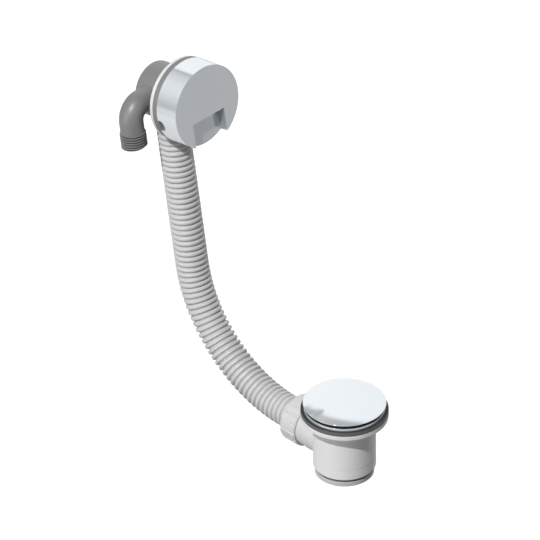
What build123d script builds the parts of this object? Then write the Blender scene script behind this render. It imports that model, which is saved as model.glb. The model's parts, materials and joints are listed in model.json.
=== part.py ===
# Bath waste and overflow with a filler head: a push-plug waste for the bath floor, a corrugated
# overflow hose, and a filler head for the sloped end wall of the bath.
# Millimetres, +Z up. The origin is on the waste axis where the chrome flange meets its gasket.
# The head lies behind the waste, towards +Y, and faces -Y. Its inlet elbow is on the -X side.
import os
from math import cos, radians, sin

from build123d import *

os.makedirs("parts", exist_ok=True)

# Clearances
push_gap = 0.3            # round faces that are screwed or pushed together
slide_gap = 0.3           # plunger and rotor in the clicker barrel
closed_gap = 0.2          # closed plug seal above its seat
loose_gap = 0.5           # hose in its socket and behind the wall, gasket round the funnel

# Waste body, its gasket and its outlet
body_radius = 25.3
body_wall = 2.2
body_flange_thickness = 4.0
gasket_thickness = 3.6
gasket_border = 2.5       # gasket edge beyond the chrome flange
skirt_step = 0.25         # fine step low on the body
skirt_height = 8.5
outlet_radius = 23.9
outlet_wall = 3.7
outlet_rim_height = 4.3
outlet_groove_height = 2.9
outlet_groove_depth = 1.9
neck_height = 3.0         # cone inside, from the body bore to the outlet bore
lead_in = 1.2

# Chrome flange with its funnel, tail and cross web
rim_height = 1.9
rim_width = 5.4
rim_rounding = 1.4
seat_width = 2.4
seat_drop = 0.6
funnel_step = 4.7
funnel_depth = 4.5
tail_wall = 2.5
tail_length = 16.0
spoke_width = 3.2
spoke_height = 5.0
hub_wall = 3.4
hub_height = 8.0

# Clicker under the plug
plug_travel = 9.0         # from closed to open
rod_radius = 4.2
barrel_wall = 1.4
barrel_shoulder = 1.5
shoulder_width = 1.6
stud_radius = 3.0
stud_length = 8.0
collar_height = 1.5
collar_step = 0.9
rod_guide = 7.0           # rod left in the barrel when the plug is open
tooth_depth = 1.0
rotor_length = 5.0
rotor_pin_radius = 1.8
rotor_pin_length = 2.5
spring_length = 7.0
spring_wire = 0.7
spring_turns = 3
barrel_floor = 1.5
drain_radius = 1.5
nut_height = 4.5
nut_width = 17.0

# Plug
plug_overhang = 0.6       # dome edge beyond the chrome flange
dome_rise = 6.5
dome_edge = 0.7           # straight side of the dome edge
dome_wall = 1.6
dome_rounding = 0.5
seal_thickness = 2.9
seal_width = 6.7
seal_inset = 0.7          # seal edge behind the flange edge
seal_lip = 0.9            # rubber above and below the carrier's tongue
tongue_grip = 1.3
carrier_hub_wall = 3.0
carrier_hub_drop = 3.6
boss_wall = 2.2

# Hose and its bend
hose_radius = 13.5        # over the ribs
rib_depth = 1.5
rib_pitch = 4.8
hose_wall = 1.2
hose_bend_radius = 110.0
hose_level_run = 8.3      # straight from the nut to the bend
hose_upright_run = 131.4  # straight from the bend to the head

# Branch of the waste body and its compression nut
branch_drop = 31.0        # branch axis below the gasket
branch_floor = 0.6        # body wall below the branch
branch_neck = 4.5
collar_lift = 0.4
spigot_wall = 3.7
spigot_gap = 8.2          # bare spigot between the neck and the nut
spigot_grip = 8.0        # spigot inside the nut
socket_depth = 15.0
seat_depth = 3.0
seat_rise = 2.5
hose_seal_length = 5.0
washer_thickness = 1.5
hose_nut_wall = 1.2
hose_nut_end = 3.5
hose_nut_taper = 2.5
grip_count = 16
grip_height = 0.5
grip_width = 5.4

# Filler head, measured back from the front face of its cap
head_tilt = 10.0          # slope of the end wall of the bath
cap_radius = 35.0
cap_depth = 21.8
cap_wall = 2.5
cap_front = 3.0
cap_rounding = 0.4
recess_width = 35.0
recess_drop = 9.0         # top of the spout recess below the cap's axis
recess_depth = 7.2
recess_wall = 2.0
outlet_slot_width = 24.0
outlet_slot_depth = 3.0
outlet_slot_start = 0.6   # behind the cap's front wall
intake_width = 10.4
intake_depth = 6.6
intake_drop = 7.9
intake_rounding = 4.5
gasket_inset = 0.4
wall_gasket_thickness = 5.6
wall_gasket_width = 10.6
wall_flange_inset = 0.7
wall_flange_thickness = 3.4
wall_flange_rounding = 0.8

# Grey filler body with its overflow chamber, elbow and nozzle
rear_radius = 22.7
rear_length = 29.2
rear_wall = 2.5
rear_rounding = 1.5
pipe_radius = 9.85
pipe_bore = 7.0
pipe_rise = 4.0           # pipe axis above the cap's axis
pipe_depth = 47.0         # pipe axis behind the cap's face
elbow_reach = 41.0
elbow_bend = 13.0
inlet_radius = 10.48
inlet_length = 12.4
inlet_drop = 30.4         # end of the inlet below the cap's axis
spigot_length = 18.0
hose_boss_width = 2.5
hose_boss_drop = 24.0
nozzle_radius = 7.5
nozzle_bore = 5.0
nozzle_tip = 9.5
sleeve_radius = 9.5
ring_section = 0.7
ring_groove = 1.2
ring_groove_width = 1.8
ring_spacing = 2.8
ring_setback = 2.7

# Clamp plate, its screws and the water box in the cap
plate_thickness = 4.6
plate_rim_gap = 1.5
screw_x = 15.0
screw_drop = 8.0
screw_radius = 2.0
screw_head = 3.9
screw_length = 23.0
screw_head_depth = 1.9
screw_boss_wall = 1.4
screw_gap = 0.1
window_radius = 16.2
window_width = 5.0
window_angle = -12.0
window_sweep_angle = 60.0
liner_width = 31.0
liner_rise = 17.0
liner_wall = 1.8
liner_depth = 10.0
socket_wall = 2.5
grub_radius = 1.9
grub_angle = 45.0
grub_recess = 0.4

# Sizes that follow from those above
body_bore = body_radius - body_wall
tail_radius = body_bore - push_gap
throat_radius = tail_radius - tail_wall
funnel_radius = tail_radius + funnel_step
flange_radius = funnel_radius + rim_width
gasket_radius = flange_radius + gasket_border
body_top = -gasket_thickness
branch_z = body_top - branch_drop
hose_bore = hose_radius - rib_depth - hose_wall
socket_radius = hose_radius + loose_gap
spigot_radius = socket_radius + spigot_wall
branch_radius = spigot_radius + collar_lift
body_bottom = branch_z - branch_radius - branch_floor
outlet_end = body_bottom - outlet_groove_height - outlet_rim_height
outlet_bore = outlet_radius - outlet_wall

neck_end = body_radius + branch_neck
nut_start = neck_end + spigot_gap
spigot_end = nut_start + spigot_grip
hose_stop = spigot_end - socket_depth
seal_end = spigot_end + hose_seal_length
washer_end = seal_end + washer_thickness
nut_end = washer_end + hose_nut_end
nut_bore = spigot_radius + push_gap
nut_radius = nut_bore + hose_nut_wall

seat_z = rim_height
seal_z = seat_z + closed_gap
dome_z = seal_z + seal_thickness
dome_radius = flange_radius + plug_overhang
dome_sphere = (dome_radius**2 + dome_rise**2) / (2 * dome_rise)
dome_top = dome_z + dome_edge + dome_rise
seal_radius = flange_radius - seal_inset
seal_bore = seal_radius - seal_width
web_z = -tail_length
hub_top = web_z + hub_height
barrel_bore = rod_radius + slide_gap
barrel_radius = barrel_bore + barrel_wall
hub_bore = barrel_radius + push_gap
hub_radius = hub_bore + hub_wall
barrel_top = hub_top + barrel_shoulder
collar_z = barrel_top + loose_gap
stud_z = collar_z + collar_height
stud_bore = stud_radius + push_gap
boss_radius = stud_bore + boss_wall
rod_end = collar_z - plug_travel - rod_guide
rotor_top = rod_end - slide_gap
rotor_end = rotor_top - rotor_length
barrel_inside = rotor_end - spring_length
barrel_end = barrel_inside - barrel_floor

flange_start = cap_depth + wall_gasket_thickness
rear_start = flange_start + wall_flange_thickness
rear_end = rear_start + rear_length
hose_depth = rear_start + loose_gap + hose_radius
chamber_radius = rear_radius - rear_wall
wall_gasket_radius = cap_radius - gasket_inset
wall_flange_radius = cap_radius - wall_flange_inset
cap_bore = cap_radius - cap_wall
plate_start = cap_depth - plate_thickness
plate_radius = cap_bore - plate_rim_gap
roof_drop = recess_drop - recess_wall
hose_spigot_radius = hose_bore - push_gap
hose_boss_radius = hose_spigot_radius + hose_boss_width
socket_bore = nozzle_radius + push_gap
liner_end = cap_front + liner_depth
shoulder_depth = plate_start + push_gap

# The branch looks along +Y. Its local z is the distance from the waste axis.
BRANCH = Plane((0, 0, branch_z), x_dir=(1, 0, 0), z_dir=(0, 1, 0))

# The hose runs level from the nut, bends up, and follows the slope of the wall to the head.
tilt = radians(head_tilt)
wall_up = Vector(0, sin(tilt), cos(tilt))
wall_back = Vector(0, cos(tilt), -sin(tilt))
hose_start = Vector(0, hose_stop + push_gap, branch_z)
bend_start = Vector(0, nut_end + hose_level_run, branch_z)
bend_end = bend_start + Vector(0, hose_bend_radius * cos(tilt), hose_bend_radius * (1 - sin(tilt)))
hose_end = bend_end + wall_up * hose_upright_run

# The head's local x is to the right, y is down the wall and z is the distance behind the cap's face.
head_face = hose_end + wall_up * (hose_boss_drop + push_gap) - wall_back * hose_depth
HEAD = Plane(head_face, x_dir=(1, 0, 0), z_dir=wall_back)


def turned(*corners):
    """Solid turned about the local z axis from its (radius, height) corners."""
    outline = Polyline(*[(radius, 0, height) for radius, height in corners], close=True)
    return revolve(make_face(outline), Axis.Z)


def ring(outer, inner, low, high):
    """Plain ring, or a disc where inner is 0."""
    return turned((inner, low), (outer, low), (outer, high), (inner, high))


def down_pipe(radius, low, high, depth):
    """Round bar in the head, down the wall, on the hose axis or at another depth."""
    return Pos(0, low, depth) * Rot(-90, 0, 0) * Cylinder(
        radius, high - low, align=(Align.CENTER, Align.CENTER, Align.MIN)
    )


def inlet_pipe(radius):
    """Round bar along the water way, from its own radius past the nozzle to the inlet."""
    route = FilletPolyline(
        (radius, -pipe_rise, pipe_depth),
        (-elbow_reach, -pipe_rise, pipe_depth),
        (-elbow_reach, inlet_drop, pipe_depth),
        radius=elbow_bend,
    )
    mouth = Plane((radius, -pipe_rise, pipe_depth), z_dir=(-1, 0, 0))
    return sweep(mouth * Circle(radius), path=route)


def waste_body():
    skirt_top = body_bottom + skirt_height
    skirt_radius = body_radius - skirt_step
    groove_radius = outlet_radius - outlet_groove_depth
    rim_top = outlet_end + outlet_rim_height
    outside = turned(
        (0, body_top),
        (gasket_radius, body_top),
        (gasket_radius, body_top - body_flange_thickness),
        (body_radius, body_top - body_flange_thickness),
        (body_radius, skirt_top),
        (skirt_radius, skirt_top),
        (skirt_radius, body_bottom),
        (groove_radius, body_bottom),
        (groove_radius, rim_top),
        (outlet_radius, rim_top),
        (outlet_radius, outlet_end),
        (0, outlet_end),
    )
    inside = turned(
        (0, body_top),
        (body_bore + lead_in, body_top),
        (body_bore, body_top - lead_in),
        (body_bore, body_bottom + neck_height),
        (outlet_bore, body_bottom),
        (outlet_bore, outlet_end),
        (0, outlet_end),
    )
    branch = turned(
        (0, 0),
        (branch_radius, 0),
        (branch_radius, neck_end),
        (spigot_radius, neck_end),
        (spigot_radius, spigot_end),
        (0, spigot_end),
    )
    branch_inside = turned(
        (0, 0),
        (hose_bore, 0),
        (hose_bore, hose_stop),
        (socket_radius, hose_stop),
        (socket_radius, spigot_end - seat_depth),
        (socket_radius + seat_rise, spigot_end),
        (0, spigot_end),
    )
    return outside + BRANCH.location * branch - inside - BRANCH.location * branch_inside


def waste_gasket():
    return ring(gasket_radius, funnel_radius + loose_gap, -gasket_thickness, 0)


def waste_flange():
    seat_inner = flange_radius - seat_width
    funnel = turned(
        (throat_radius, web_z),
        (tail_radius, web_z),
        (tail_radius, -funnel_depth),
        (funnel_radius, 0),
        (flange_radius, 0),
        (flange_radius, rim_height - rim_rounding),
        (flange_radius - rim_rounding, rim_height),
        (seat_inner, rim_height),
        (funnel_radius, rim_height - seat_drop),
        (throat_radius, -funnel_depth),
    )
    web = ring(hub_radius, 0, web_z, hub_top)
    for turn in (0, 90):
        spoke = Box(2 * throat_radius + tail_wall, spoke_width, spoke_height)
        web += Pos(0, 0, web_z + spoke_height / 2) * Rot(0, 0, turn) * spoke
    return funnel + web - ring(hub_bore, 0, web_z, hub_top)


def clicker_housing():
    shoulder_radius = barrel_radius + shoulder_width
    return turned(
        (barrel_bore, barrel_inside),
        (barrel_bore, barrel_top),
        (shoulder_radius, barrel_top),
        (shoulder_radius, hub_top),
        (barrel_radius, hub_top),
        (barrel_radius, barrel_end),
        (drain_radius, barrel_end),
        (drain_radius, barrel_inside),
    )


def clicker_nut():
    blank = extrude(RegularPolygon(nut_width / 2, 6, major_radius=False), nut_height)
    return Pos(0, 0, web_z - nut_height) * blank - ring(hub_bore, 0, web_z - nut_height, web_z)


def toothed_face(height):
    """Cutter for a ring of eight pointed teeth across a round face."""
    side = tooth_depth * 2**0.5
    bar = Pos(0, 0, height) * Rot(45, 0, 0) * Box(4 * rod_radius, side, side)
    cutter = bar
    for step in range(1, 4):
        cutter += Rot(0, 0, 45 * step) * bar
    return cutter


def clicker_plunger():
    rod = turned(
        (0, rod_end),
        (rod_radius, rod_end),
        (rod_radius, collar_z),
        (rod_radius + collar_step, collar_z),
        (rod_radius + collar_step, stud_z),
        (stud_radius, stud_z),
        (stud_radius, stud_z + stud_length),
        (0, stud_z + stud_length),
    )
    return rod - toothed_face(rod_end)


def clicker_rotor():
    rotor = turned(
        (0, rotor_end - rotor_pin_length),
        (rotor_pin_radius, rotor_end - rotor_pin_length),
        (rotor_pin_radius, rotor_end),
        (rod_radius, rotor_end),
        (rod_radius, rotor_top),
        (0, rotor_top),
    )
    return rotor - toothed_face(rotor_top)


def clicker_spring():
    coil_radius = (rotor_pin_radius + push_gap + barrel_bore - slide_gap) / 2
    rise = spring_length - spring_wire - 2 * push_gap
    path = Helix(rise / spring_turns, rise, coil_radius)
    wire = Plane(path @ 0, z_dir=path % 0) * Rectangle(spring_wire, spring_wire)
    low = barrel_inside + push_gap + spring_wire / 2
    return Pos(0, 0, low) * sweep(wire, path=path, is_frenet=True)


def dome(radius, edge_z, sphere):
    """Lens of a sphere over a short straight edge."""
    rise = sphere - (sphere**2 - radius**2) ** 0.5
    outline = Polyline((0, 0, edge_z), (radius, 0, edge_z), (radius, 0, edge_z + dome_edge))
    middle = radius / 2
    middle_z = edge_z + dome_edge + rise - sphere + (sphere**2 - middle**2) ** 0.5
    crown = ThreePointArc(
        (radius, 0, edge_z + dome_edge), (middle, 0, middle_z), (0, 0, edge_z + dome_edge + rise)
    )
    axis = Line((0, 0, edge_z + dome_edge + rise), (0, 0, edge_z))
    return revolve(make_face([*outline.edges(), *crown.edges(), *axis.edges()]), Axis.Z)


def plug_cover():
    cap = dome(dome_radius, dome_z, dome_sphere)
    side = cap.edges().filter_by(GeomType.CIRCLE).group_by(Axis.Z)[1]
    cap = fillet(side, dome_rounding)
    hollow_radius = dome_radius - dome_wall
    hollow_rise = dome_sphere - dome_wall
    sphere = Pos(0, 0, dome_top - dome_sphere) * Sphere(hollow_rise)
    hollow = ring(hollow_radius, 0, dome_z, dome_top) & sphere
    stud_top = stud_z + stud_length
    boss = ring(boss_radius, 0, stud_z, dome_top - dome_wall)
    return cap - hollow + boss - ring(stud_bore, 0, stud_z, stud_top + push_gap)


def plug_carrier():
    neck = seal_bore - push_gap
    tongue = seal_bore + tongue_grip - push_gap
    bore = boss_radius + push_gap
    hub = bore + carrier_hub_wall
    low = seal_z - carrier_hub_drop
    top = dome_z + dome_edge
    return turned(
        (bore, low),
        (hub, low),
        (hub, seal_z),
        (neck, seal_z),
        (neck, seal_z + seal_lip),
        (tongue, seal_z + seal_lip),
        (tongue, dome_z - seal_lip),
        (neck, dome_z - seal_lip),
        (neck, top),
        (bore, top),
    )


def plug_seal():
    groove = seal_bore + tongue_grip
    return turned(
        (seal_bore, seal_z),
        (seal_radius, seal_z),
        (seal_radius, dome_z),
        (seal_bore, dome_z),
        (seal_bore, dome_z - seal_lip),
        (groove, dome_z - seal_lip),
        (groove, seal_z + seal_lip),
        (seal_bore, seal_z + seal_lip),
    )


def hose_nut():
    taper_start = nut_end - hose_nut_taper
    hole = socket_radius + push_gap
    shell = turned(
        (nut_bore, nut_start),
        (nut_radius, nut_start),
        (nut_radius, taper_start),
        (nut_bore - hose_nut_wall, nut_end),
        (hole, nut_end),
        (hole, washer_end),
        (nut_bore, washer_end),
    )
    grip_length = taper_start - nut_start - loose_gap
    reach = nut_radius + grip_height - nut_bore
    grip = Pos(nut_bore + reach / 2, 0, nut_start + loose_gap + grip_length / 2) * Box(
        reach, grip_width, grip_length
    )
    for step in range(grip_count):
        shell += Rot(0, 0, 360 * step / grip_count) * grip
    shell -= ring(nut_bore, 0, nut_start, washer_end)
    return BRANCH.location * shell


def hose_washer():
    washer = ring(nut_bore - push_gap, socket_radius, seal_end, washer_end)
    return BRANCH.location * washer


def hose_seal():
    bore = hose_radius + push_gap
    slope = seat_depth / seat_rise
    seat_start = spigot_end - seat_depth + push_gap
    rim = socket_radius + seat_rise
    seal = turned(
        (bore, seat_start),
        (socket_radius, seat_start),
        (rim, seat_start + slope * seat_rise),
        (rim, seal_end),
        (bore, seal_end),
    )
    return BRANCH.location * seal


def hose_path():
    """Level run, bend and upright run of the hose, in the plane x = 0."""
    middle_turn = radians((90 - head_tilt) / 2)
    middle = bend_start + Vector(
        0, hose_bend_radius * sin(middle_turn), hose_bend_radius * (1 - cos(middle_turn))
    )
    level = Line(hose_start, bend_start)
    bend = ThreePointArc(bend_start, middle, bend_end)
    upright = Line(bend_end, hose_end)
    return Wire([level.edge(), bend.edge(), upright.edge()])


def overflow_hose():
    path = hose_path()
    ribs = round(path.length / rib_pitch)
    sections = []
    for step in range(2 * ribs + 1):
        place = step / (2 * ribs)
        radius = hose_radius if step % 2 else hose_radius - rib_depth
        across = Plane(path @ place, x_dir=(1, 0, 0), z_dir=path % place)
        sections.append(across * Circle(radius))
    bore = Plane(path @ 0, x_dir=(1, 0, 0), z_dir=path % 0) * Circle(hose_bore)
    return loft(sections, ruled=True) - sweep(bore, path=path)


def filler_body():
    shell = fillet(
        ring(rear_radius, 0, rear_start, rear_end).edges().group_by(Axis.Z)[-1], rear_rounding
    )
    shell += down_pipe(hose_boss_radius, 0, hose_boss_drop, hose_depth)
    shell += down_pipe(hose_spigot_radius, 0, hose_boss_drop + spigot_length, hose_depth)
    shell -= ring(chamber_radius, 0, rear_start, rear_end - rear_wall)

    # Water way across the chamber and forward through the wall of the bath
    groove_radius = nozzle_radius - ring_groove
    first = nozzle_tip + ring_setback - ring_groove_width / 2
    second = first + ring_spacing
    nozzle = turned(
        (0, nozzle_tip),
        (nozzle_radius, nozzle_tip),
        (nozzle_radius, first),
        (groove_radius, first),
        (groove_radius, first + ring_groove_width),
        (nozzle_radius, first + ring_groove_width),
        (nozzle_radius, second),
        (groove_radius, second),
        (groove_radius, second + ring_groove_width),
        (nozzle_radius, second + ring_groove_width),
        (nozzle_radius, shoulder_depth),
        (sleeve_radius, shoulder_depth),
        (sleeve_radius, pipe_depth),
        (0, pipe_depth),
    )
    inlet = down_pipe(inlet_radius, inlet_drop - inlet_length, inlet_drop, pipe_depth)
    shell += inlet_pipe(pipe_radius) + Pos(-elbow_reach, 0, 0) * inlet
    shell += Pos(0, -pipe_rise, 0) * nozzle

    boss_radius_here = screw_radius + screw_gap + screw_boss_wall
    boss_end = plate_start + screw_length + screw_boss_wall
    for side in (-1, 1):
        boss = ring(boss_radius_here, 0, rear_start, boss_end)
        hole = ring(screw_radius + screw_gap, 0, rear_start, plate_start + screw_length + screw_gap)
        shell += Pos(side * screw_x, screw_drop, 0) * boss
        shell -= Pos(side * screw_x, screw_drop, 0) * hole

    shell -= inlet_pipe(pipe_bore)
    shell -= Pos(0, -pipe_rise, 0) * ring(nozzle_bore, 0, nozzle_tip, pipe_depth)
    spigot_bore = hose_spigot_radius - hose_wall
    spigot_end_drop = hose_boss_drop + spigot_length
    shell -= down_pipe(spigot_bore, chamber_radius - rear_wall, spigot_end_drop, hose_depth)
    return HEAD.location * shell


def overflow_flange():
    edge = wall_flange_radius - wall_flange_rounding
    plate = turned(
        (chamber_radius, flange_start),
        (wall_flange_radius, flange_start),
        (wall_flange_radius, rear_start - wall_flange_rounding),
        (edge, rear_start),
        (chamber_radius, rear_start),
    )
    return HEAD.location * plate


def overflow_gasket():
    inner = wall_gasket_radius - wall_gasket_width
    return HEAD.location * ring(wall_gasket_radius, inner, cap_depth, flange_start)


def clamp_plate():
    plate = ring(plate_radius, 0, plate_start, cap_depth)
    plate -= Pos(0, -pipe_rise, 0) * ring(sleeve_radius + push_gap, 0, plate_start, cap_depth)
    for side in (-1, 1):
        sink = turned(
            (0, plate_start),
            (screw_head + screw_gap, plate_start),
            (screw_radius + screw_gap, plate_start + screw_head_depth),
            (screw_radius + screw_gap, cap_depth),
            (0, cap_depth),
        )
        plate -= Pos(side * screw_x, screw_drop, 0) * sink
    # Kidney windows let the overflow water through, one each side of the nozzle
    arc = CenterArc((0, 0), window_radius, -window_angle - window_sweep_angle, window_sweep_angle)
    window = Pos(0, 0, plate_start) * extrude(SlotArc(arc, window_width), cap_depth - plate_start)
    plate = plate - window - mirror(window, about=Plane.YZ)
    return HEAD.location * plate


def clamp_screws():
    screw = turned(
        (0, plate_start),
        (screw_head, plate_start),
        (screw_radius, plate_start + screw_head_depth),
        (screw_radius, plate_start + screw_length),
        (0, plate_start + screw_length),
    )
    pair = [Pos(side * screw_x, screw_drop, 0) * screw for side in (-1, 1)]
    return HEAD.location * Compound(children=pair)


def nozzle_o_rings():
    groove_radius = nozzle_radius - ring_groove
    middle = (groove_radius + socket_bore) / 2
    first = nozzle_tip + ring_setback
    rings = []
    for depth in (first, first + ring_spacing):
        corners = []
        for corner in range(6):
            angle = radians(60 * corner)
            corners.append((middle + ring_section * cos(angle), depth + ring_section * sin(angle)))
        rings.append(Pos(0, -pipe_rise, 0) * turned(*corners))
    return HEAD.location * Compound(children=rings)


def outlet_slot():
    """Cutter for the slot that lets the water fall into the recess, through the liner and the cap."""
    low = roof_drop - 2 * liner_wall
    return Pos(0, low, cap_front + outlet_slot_start) * Box(
        outlet_slot_width,
        recess_drop + recess_wall - low,
        outlet_slot_depth,
        align=(Align.CENTER, Align.MIN, Align.MIN),
    )


def cap_liner():
    height = liner_rise + roof_drop
    box = Pos(0, -liner_rise, cap_front) * Box(
        liner_width, height, liner_depth, align=(Align.CENTER, Align.MIN, Align.MIN)
    )
    inside = Pos(0, liner_wall - liner_rise, cap_front) * Box(
        liner_width - 2 * liner_wall,
        height - 2 * liner_wall,
        liner_depth - liner_wall,
        align=(Align.CENTER, Align.MIN, Align.MIN),
    )
    socket = ring(socket_bore + socket_wall, 0, liner_end - liner_wall, plate_start - closed_gap)
    hole = ring(socket_bore, 0, liner_end - liner_wall, plate_start)
    liner = box - inside - outlet_slot() + Pos(0, -pipe_rise, 0) * socket
    return HEAD.location * (liner - Pos(0, -pipe_rise, 0) * hole)


def grub_bar(radius, inner, outer):
    """Radial bar through the cap's rim, low on the side away from the elbow."""
    bar = Cylinder(radius, outer - inner, align=(Align.CENTER, Align.CENTER, Align.MIN))
    return Pos(0, 0, plate_start + grub_radius) * Rot(0, 0, grub_angle) * Rot(0, 90, 0) * Pos(0, 0, inner) * bar


def filler_cap():
    cap = turned(
        (0, 0),
        (cap_radius - cap_rounding, 0),
        (cap_radius, cap_rounding),
        (cap_radius, cap_depth),
        (0, cap_depth),
    )
    hollow = ring(cap_bore, 0, cap_front, cap_depth)
    hollow -= Pos(0, roof_drop, 0) * Box(
        recess_width + 2 * recess_wall,
        cap_radius,
        recess_depth + recess_wall,
        align=(Align.CENTER, Align.MIN, Align.MIN),
    )
    recess = Pos(0, recess_drop, 0) * Box(
        recess_width, cap_radius, recess_depth, align=(Align.CENTER, Align.MIN, Align.MIN)
    )
    cap = cap - hollow - recess - outlet_slot()
    for side in (-1, 1):
        intake = Box(4 * cap_wall, intake_width, 2 * intake_depth)
        ends = intake.edges().filter_by(Axis.X).group_by(Axis.Z)[0]
        intake = fillet(ends, intake_rounding)
        cap -= Pos(side * cap_radius, intake_drop, cap_depth) * intake
    return HEAD.location * (cap - grub_bar(grub_radius + screw_gap, plate_radius, 2 * cap_radius))


def cap_grub_screw():
    return HEAD.location * grub_bar(grub_radius, plate_radius, cap_radius - grub_recess)


PIECES = [
    waste_body,
    waste_gasket,
    waste_flange,
    clicker_housing,
    clicker_nut,
    clicker_plunger,
    clicker_rotor,
    clicker_spring,
    plug_cover,
    plug_carrier,
    plug_seal,
    hose_nut,
    hose_washer,
    hose_seal,
    overflow_hose,
    filler_body,
    overflow_flange,
    overflow_gasket,
    clamp_plate,
    clamp_screws,
    nozzle_o_rings,
    cap_liner,
    filler_cap,
    cap_grub_screw,
]

for piece in PIECES:
    export_step(piece(), f"parts/{piece.__name__}.step")
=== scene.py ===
import json
import math

import bmesh
import bpy
from mathutils import Matrix, Vector

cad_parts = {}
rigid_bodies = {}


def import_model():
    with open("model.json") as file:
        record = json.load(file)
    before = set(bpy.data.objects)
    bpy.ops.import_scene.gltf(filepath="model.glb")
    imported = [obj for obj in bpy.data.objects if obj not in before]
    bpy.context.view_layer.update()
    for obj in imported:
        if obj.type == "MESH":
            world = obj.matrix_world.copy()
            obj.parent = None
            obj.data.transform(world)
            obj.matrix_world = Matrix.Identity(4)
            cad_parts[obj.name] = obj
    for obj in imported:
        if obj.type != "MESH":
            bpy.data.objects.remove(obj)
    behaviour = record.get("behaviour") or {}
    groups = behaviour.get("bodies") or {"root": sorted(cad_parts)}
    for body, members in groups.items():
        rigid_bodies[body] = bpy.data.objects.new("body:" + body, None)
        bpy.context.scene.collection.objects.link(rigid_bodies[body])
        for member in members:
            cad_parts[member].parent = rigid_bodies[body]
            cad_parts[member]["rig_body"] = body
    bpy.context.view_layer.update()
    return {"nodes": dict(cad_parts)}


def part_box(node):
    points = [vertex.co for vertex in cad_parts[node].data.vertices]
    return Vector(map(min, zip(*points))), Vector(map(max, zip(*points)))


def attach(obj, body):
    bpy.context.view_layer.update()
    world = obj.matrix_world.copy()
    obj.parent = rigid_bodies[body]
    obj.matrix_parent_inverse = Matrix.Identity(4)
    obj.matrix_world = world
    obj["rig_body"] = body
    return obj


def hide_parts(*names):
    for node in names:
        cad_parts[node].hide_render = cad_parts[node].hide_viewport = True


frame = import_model()
cad = frame["nodes"]

# The waste body is a white moulded pot under the bath floor, open at both ends, with a branch for
# the overflow hose. The chrome flange above draws its top flange up against the gasket. The branch,
# and the rim and groove round its foot, are painted darker as shade.
MM = 0.001
WELD = 0.0001  # corners this close become one
OVERCUT = 1.0  # how far a cutting shape sticks out of what it cuts
NEAR = 0.1  # slack where faces and edges are picked by their place


def size_of(node):
    """Lowest and highest corner of a CAD node, in millimetres."""
    low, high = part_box(node)
    return low / MM, high / MM


def turned(corners, steps=96, closed=True):
    """Mesh turned about z from (radius, height) corners: a closed ring, or a bar from axis to axis."""
    bm = bmesh.new()
    verts = [bm.verts.new((radius, 0, height)) for radius, height in corners]
    ends = verts[1:] + verts[:1] if closed else verts[1:]
    edges = [bm.edges.new(pair) for pair in zip(verts, ends)]
    bmesh.ops.spin(
        bm, geom=verts + edges, axis=(0, 0, 1), cent=(0, 0, 0),
        angle=2 * math.pi, steps=steps, use_merge=True,
    )
    bmesh.ops.remove_doubles(bm, verts=bm.verts, dist=WELD)
    bmesh.ops.recalc_face_normals(bm, faces=bm.faces)
    return bm


def soften(bm, width, chosen=lambda edge: True):
    """Rounds those of the chosen edges that turn by more than 30 degrees."""
    least_turn = math.radians(30)
    sharp = [e for e in bm.edges if e.is_manifold and e.calc_face_angle() > least_turn and chosen(e)]
    bmesh.ops.bevel(
        bm, geom=sharp, offset=width, offset_type="OFFSET", affect="EDGES",
        segments=3, profile=0.5, material=-1, clamp_overlap=True,
    )
    return bm


def carved(base, tool, operation):
    """Union or difference of two closed meshes, as one new mesh."""
    pair = []
    for bm in (base, tool):
        mesh = bpy.data.meshes.new("blank")
        bm.to_mesh(mesh)
        bm.free()
        blank = bpy.data.objects.new("blank", mesh)
        bpy.context.scene.collection.objects.link(blank)
        pair.append(blank)
    cut = pair[0].modifiers.new("cut", "BOOLEAN")
    cut.operation = operation
    cut.solver = "EXACT"
    cut.object = pair[1]
    result = bmesh.new()
    result.from_object(pair[0], bpy.context.evaluated_depsgraph_get())
    for blank in pair:
        mesh = blank.data
        bpy.data.objects.remove(blank)
        bpy.data.meshes.remove(mesh)
    bmesh.ops.remove_doubles(result, verts=result.verts, dist=WELD)
    return result


def show(bm, name, node, material, place=Matrix()):
    """Makes a finished mesh the piece that stands for a CAD node."""
    crease_turn = math.radians(35)
    bm.transform(Matrix.Scale(MM, 4) @ place)
    mesh = bpy.data.meshes.new(name)
    bm.to_mesh(mesh)
    bm.free()
    mesh.shade_smooth()
    mesh.set_sharp_from_angle(angle=crease_turn)
    mesh.materials.append(material)
    piece = bpy.data.objects.new(name, mesh)
    bpy.context.scene.collection.objects.link(piece)
    normals = piece.modifiers.new("even_normals", "WEIGHTED_NORMAL")
    normals.keep_sharp = True
    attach(piece, cad[node]["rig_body"])
    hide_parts(node)
    return piece


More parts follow.
